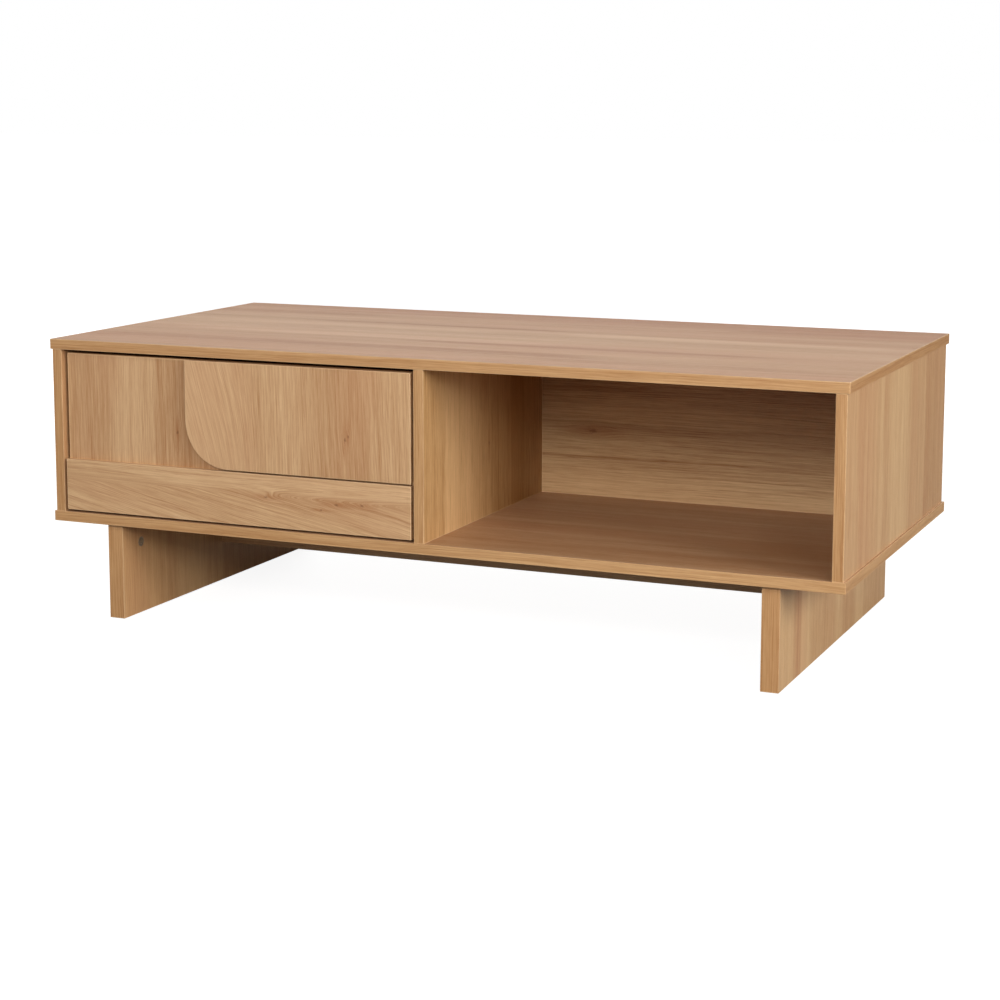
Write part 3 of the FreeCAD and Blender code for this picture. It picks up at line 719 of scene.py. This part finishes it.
def drawer_box_boards():
    """Foil-faced boards of the drawer box, its hardboard bottom and its bands."""
    foil = {
        "light": srgb(226, 205, 172), "dark": srgb(190, 160, 122), "blush": srgb(208, 178, 142),
        "streaks": 0.6, "strands": 0.2, "fibres": 0.4, "pores": 0.1,
    }
    for node, seed in (("drawer_left_side", 31.2), ("drawer_right_side", 32.7)):
        wood(node, "Y", "Z", seed, spread(node, "Z", 0.5, 0.46, 0.54, 0.5), raw="Y", **foil)
    wood("drawer_back", "X", "Z", seed=33.3, staves=spread("drawer_back", "Z", 0.5, 0.54, 0.47, 0.5), **foil)
    wood("drawer_bottom", "X", "Y", seed=34.9, staves=spread("drawer_bottom", "Y", 0.5, 0.55, 0.45, 0.52),
         rub_and_highlight=0.0, **foil)
    wood("drawer_box_edge_bands", "Y", "X", seed=35.4, staves=spread("drawer_box_edge_bands", "X", 0.5, 0.5), **foil)


def dowels():
    """Turned beech pins."""
    beech = {"light": srgb(228, 196, 158), "dark": srgb(190, 148, 108), "blush": srgb(210, 164, 130), "pores": 0.3}
    for node, seed in (("carcass_dowels", 41.0), ("leg_dowels", 42.0), ("drawer_dowels", 43.0)):
        wood(node, "Z", "X", seed, spread(node, "X", 0.5, 0.5), rub_and_highlight=0.0, **beech)


def metal_pieces():
    """Slides, balls, cams, bolts and screws."""
    hands = ("left", "right")
    rails = ["%s_%s_rail" % (hand, part) for hand in hands for part in ("cabinet", "middle", "drawer")]
    cages = ["%s_%s_ball_cage" % (hand, part) for hand in hands for part in ("outer", "inner")]
    balls = ["outer_balls", "inner_balls"]
    fittings = [
        "carcass_cam_locks", "carcass_cam_bolts", "leg_cam_bolts", "drawer_cam_locks", "drawer_cam_bolts",
    ]
    screws = ["cabinet_rail_screws", "drawer_rail_screws", "drawer_front_screws", "drawer_back_screws"]
    metal("slide_steel", rails, "Y", "Z", gloss=0.28, bright=srgb(222, 225, 228), dull=srgb(176, 181, 186))
    metal("cage_steel", cages, "Y", "Z", gloss=0.36, bright=srgb(190, 190, 186), dull=srgb(142, 142, 138))
    metal("ball_steel", balls, "Y", "Z", gloss=0.10, bright=srgb(232, 232, 234), dull=srgb(204, 206, 210))
    metal("tarnished_zinc", ["leg_cam_locks"], "X", "Z",
          gloss=0.50, bright=srgb(240, 226, 200), dull=srgb(140, 114, 84))
    metal("cast_zinc", fittings, "X", "Z", gloss=0.44, bright=srgb(222, 221, 218), dull=srgb(166, 165, 162))
    metal("screw_zinc", screws, "X", "Z", gloss=0.34, bright=srgb(212, 206, 188), dull=srgb(170, 164, 148))


# Studio

def studio_floor():
    """A plain white floor that runs on into the white of the studio, with a soft pale shadow on it."""
    half = 30.0
    bounce = 0.34
    glow_near, glow_far = 0.90, 1.0
    near, far = 1.0, 3.0
    mesh = bpy.data.meshes.new("floor")
    mesh.from_pydata([(-half, -half, 0), (half, -half, 0), (half, half, 0), (-half, half, 0)], [], [(0, 1, 2, 3)])
    floor = bpy.data.objects.new("floor", mesh)
    bpy.context.scene.collection.objects.link(floor)
    finish, tree, shader = new_finish("white_floor")
    shader.inputs["Base Color"].default_value = (bounce, bounce, bounce, 1.0)
    shader.inputs["Roughness"].default_value = 0.9
    shader.inputs["Specular IOR Level"].default_value = 0.0
    shader.inputs["Emission Color"].default_value = WHITE
    seen = add(tree, "LightPath").outputs["Is Camera Ray"]
    away = add(tree, "VectorMath", {0: position(tree)}, operation="LENGTH").outputs["Value"]
    glow = ease(tree, away, near, far, glow_near, glow_far)
    feed(tree, shader.inputs["Emission Strength"], calc(tree, "MULTIPLY", glow, seen))
    mesh.materials.append(finish)


def soft_box(name, place, size, power, mirrored):
    """A square studio light turned to the table. One that isn't mirrored leaves no gloss on it."""
    aim = Vector((0.0, 0.0, 0.25))
    lamp = bpy.data.lights.new(name, "AREA")
    lamp.shape = "SQUARE"
    lamp.size = size
    lamp.energy = power
    box = bpy.data.objects.new(name, lamp)
    box.location = place
    box.rotation_euler = (aim - Vector(place)).to_track_quat("-Z", "Y").to_euler()
    box.visible_glossy = mirrored
    bpy.context.scene.collection.objects.link(box)


def studio_lights():
    """Soft boxes in a white studio: the strongest to the right, behind and in front, weaker ones all round."""
    for name, place, size, power, mirrored in (
        ("front_light", (2.5, -3.1, 1.5), 1.4, 22.0, True),
        ("key_light", (2.0, -2.4, 2.5), 0.8, 8.0, True),
        ("centre_light", (0.5, -3.6, 1.7), 0.7, 58.0, True),
        ("far_left_light", (-2.2, -3.0, 1.8), 2.0, 22.0, True),
        ("right_light", (3.4, -1.3, 1.4), 1.6, 97.0, True),
        ("top_light", (0.3, 0.3, 3.3), 2.0, 5.0, True),
        ("rear_light", (-1.6, 3.4, 1.3), 1.6, 85.0, False),
        ("left_light", (-3.4, 0.4, 1.4), 1.6, 40.0, False),
    ):
        soft_box(name, place, size, power, mirrored)
    fill, mirrored_white, seen_white = 0.07, 0.8, 1.0
    world = bpy.data.worlds.new("white_studio")
    world.use_nodes = True
    tree = world.node_tree
    path = add(tree, "LightPath").outputs
    back = tree.nodes["Background"]
    back.inputs["Color"].default_value = WHITE
    unseen = choose(tree, path["Is Glossy Ray"], fill, mirrored_white)
    feed(tree, back.inputs["Strength"], choose(tree, path["Is Camera Ray"], unseen, seen_white))
    bpy.context.scene.world = world


def photo_camera():
    """The camera of the photograph: its place, its turn to the left, its tilt down and its lens."""
    sensor = 36.0
    focal_pixels, image_pixels = 2145.4, 1000.0
    centre_x, centre_y = 490.0, 400.0
    place = (1.2523, -2.9173, 0.7752)
    degrees_left, degrees_down = 23.62, 8.18
    camera = bpy.data.cameras.new("photo_camera")
    camera.sensor_width = sensor
    camera.lens = focal_pixels * sensor / image_pixels
    camera.shift_x = 0.5 - centre_x / image_pixels
    camera.shift_y = centre_y / image_pixels - 0.5
    holder = bpy.data.objects.new("photo_camera", camera)
    turn = Matrix.Rotation(math.radians(degrees_left), 4, "Z")
    tilt = Matrix.Rotation(math.radians(90.0 - degrees_down), 4, "X")
    holder.matrix_world = Matrix.Translation(place) @ turn @ tilt
    bpy.context.scene.collection.objects.link(holder)
    bpy.context.scene.camera = holder


carcass_boards()
drawer_front_boards()
edge_bands()
drawer_box_boards()
dowels()
metal_pieces()
moulded_plastic()
studio_floor()
studio_lights()
photo_camera()
bpy.context.scene.view_settings.view_transform = "Standard"
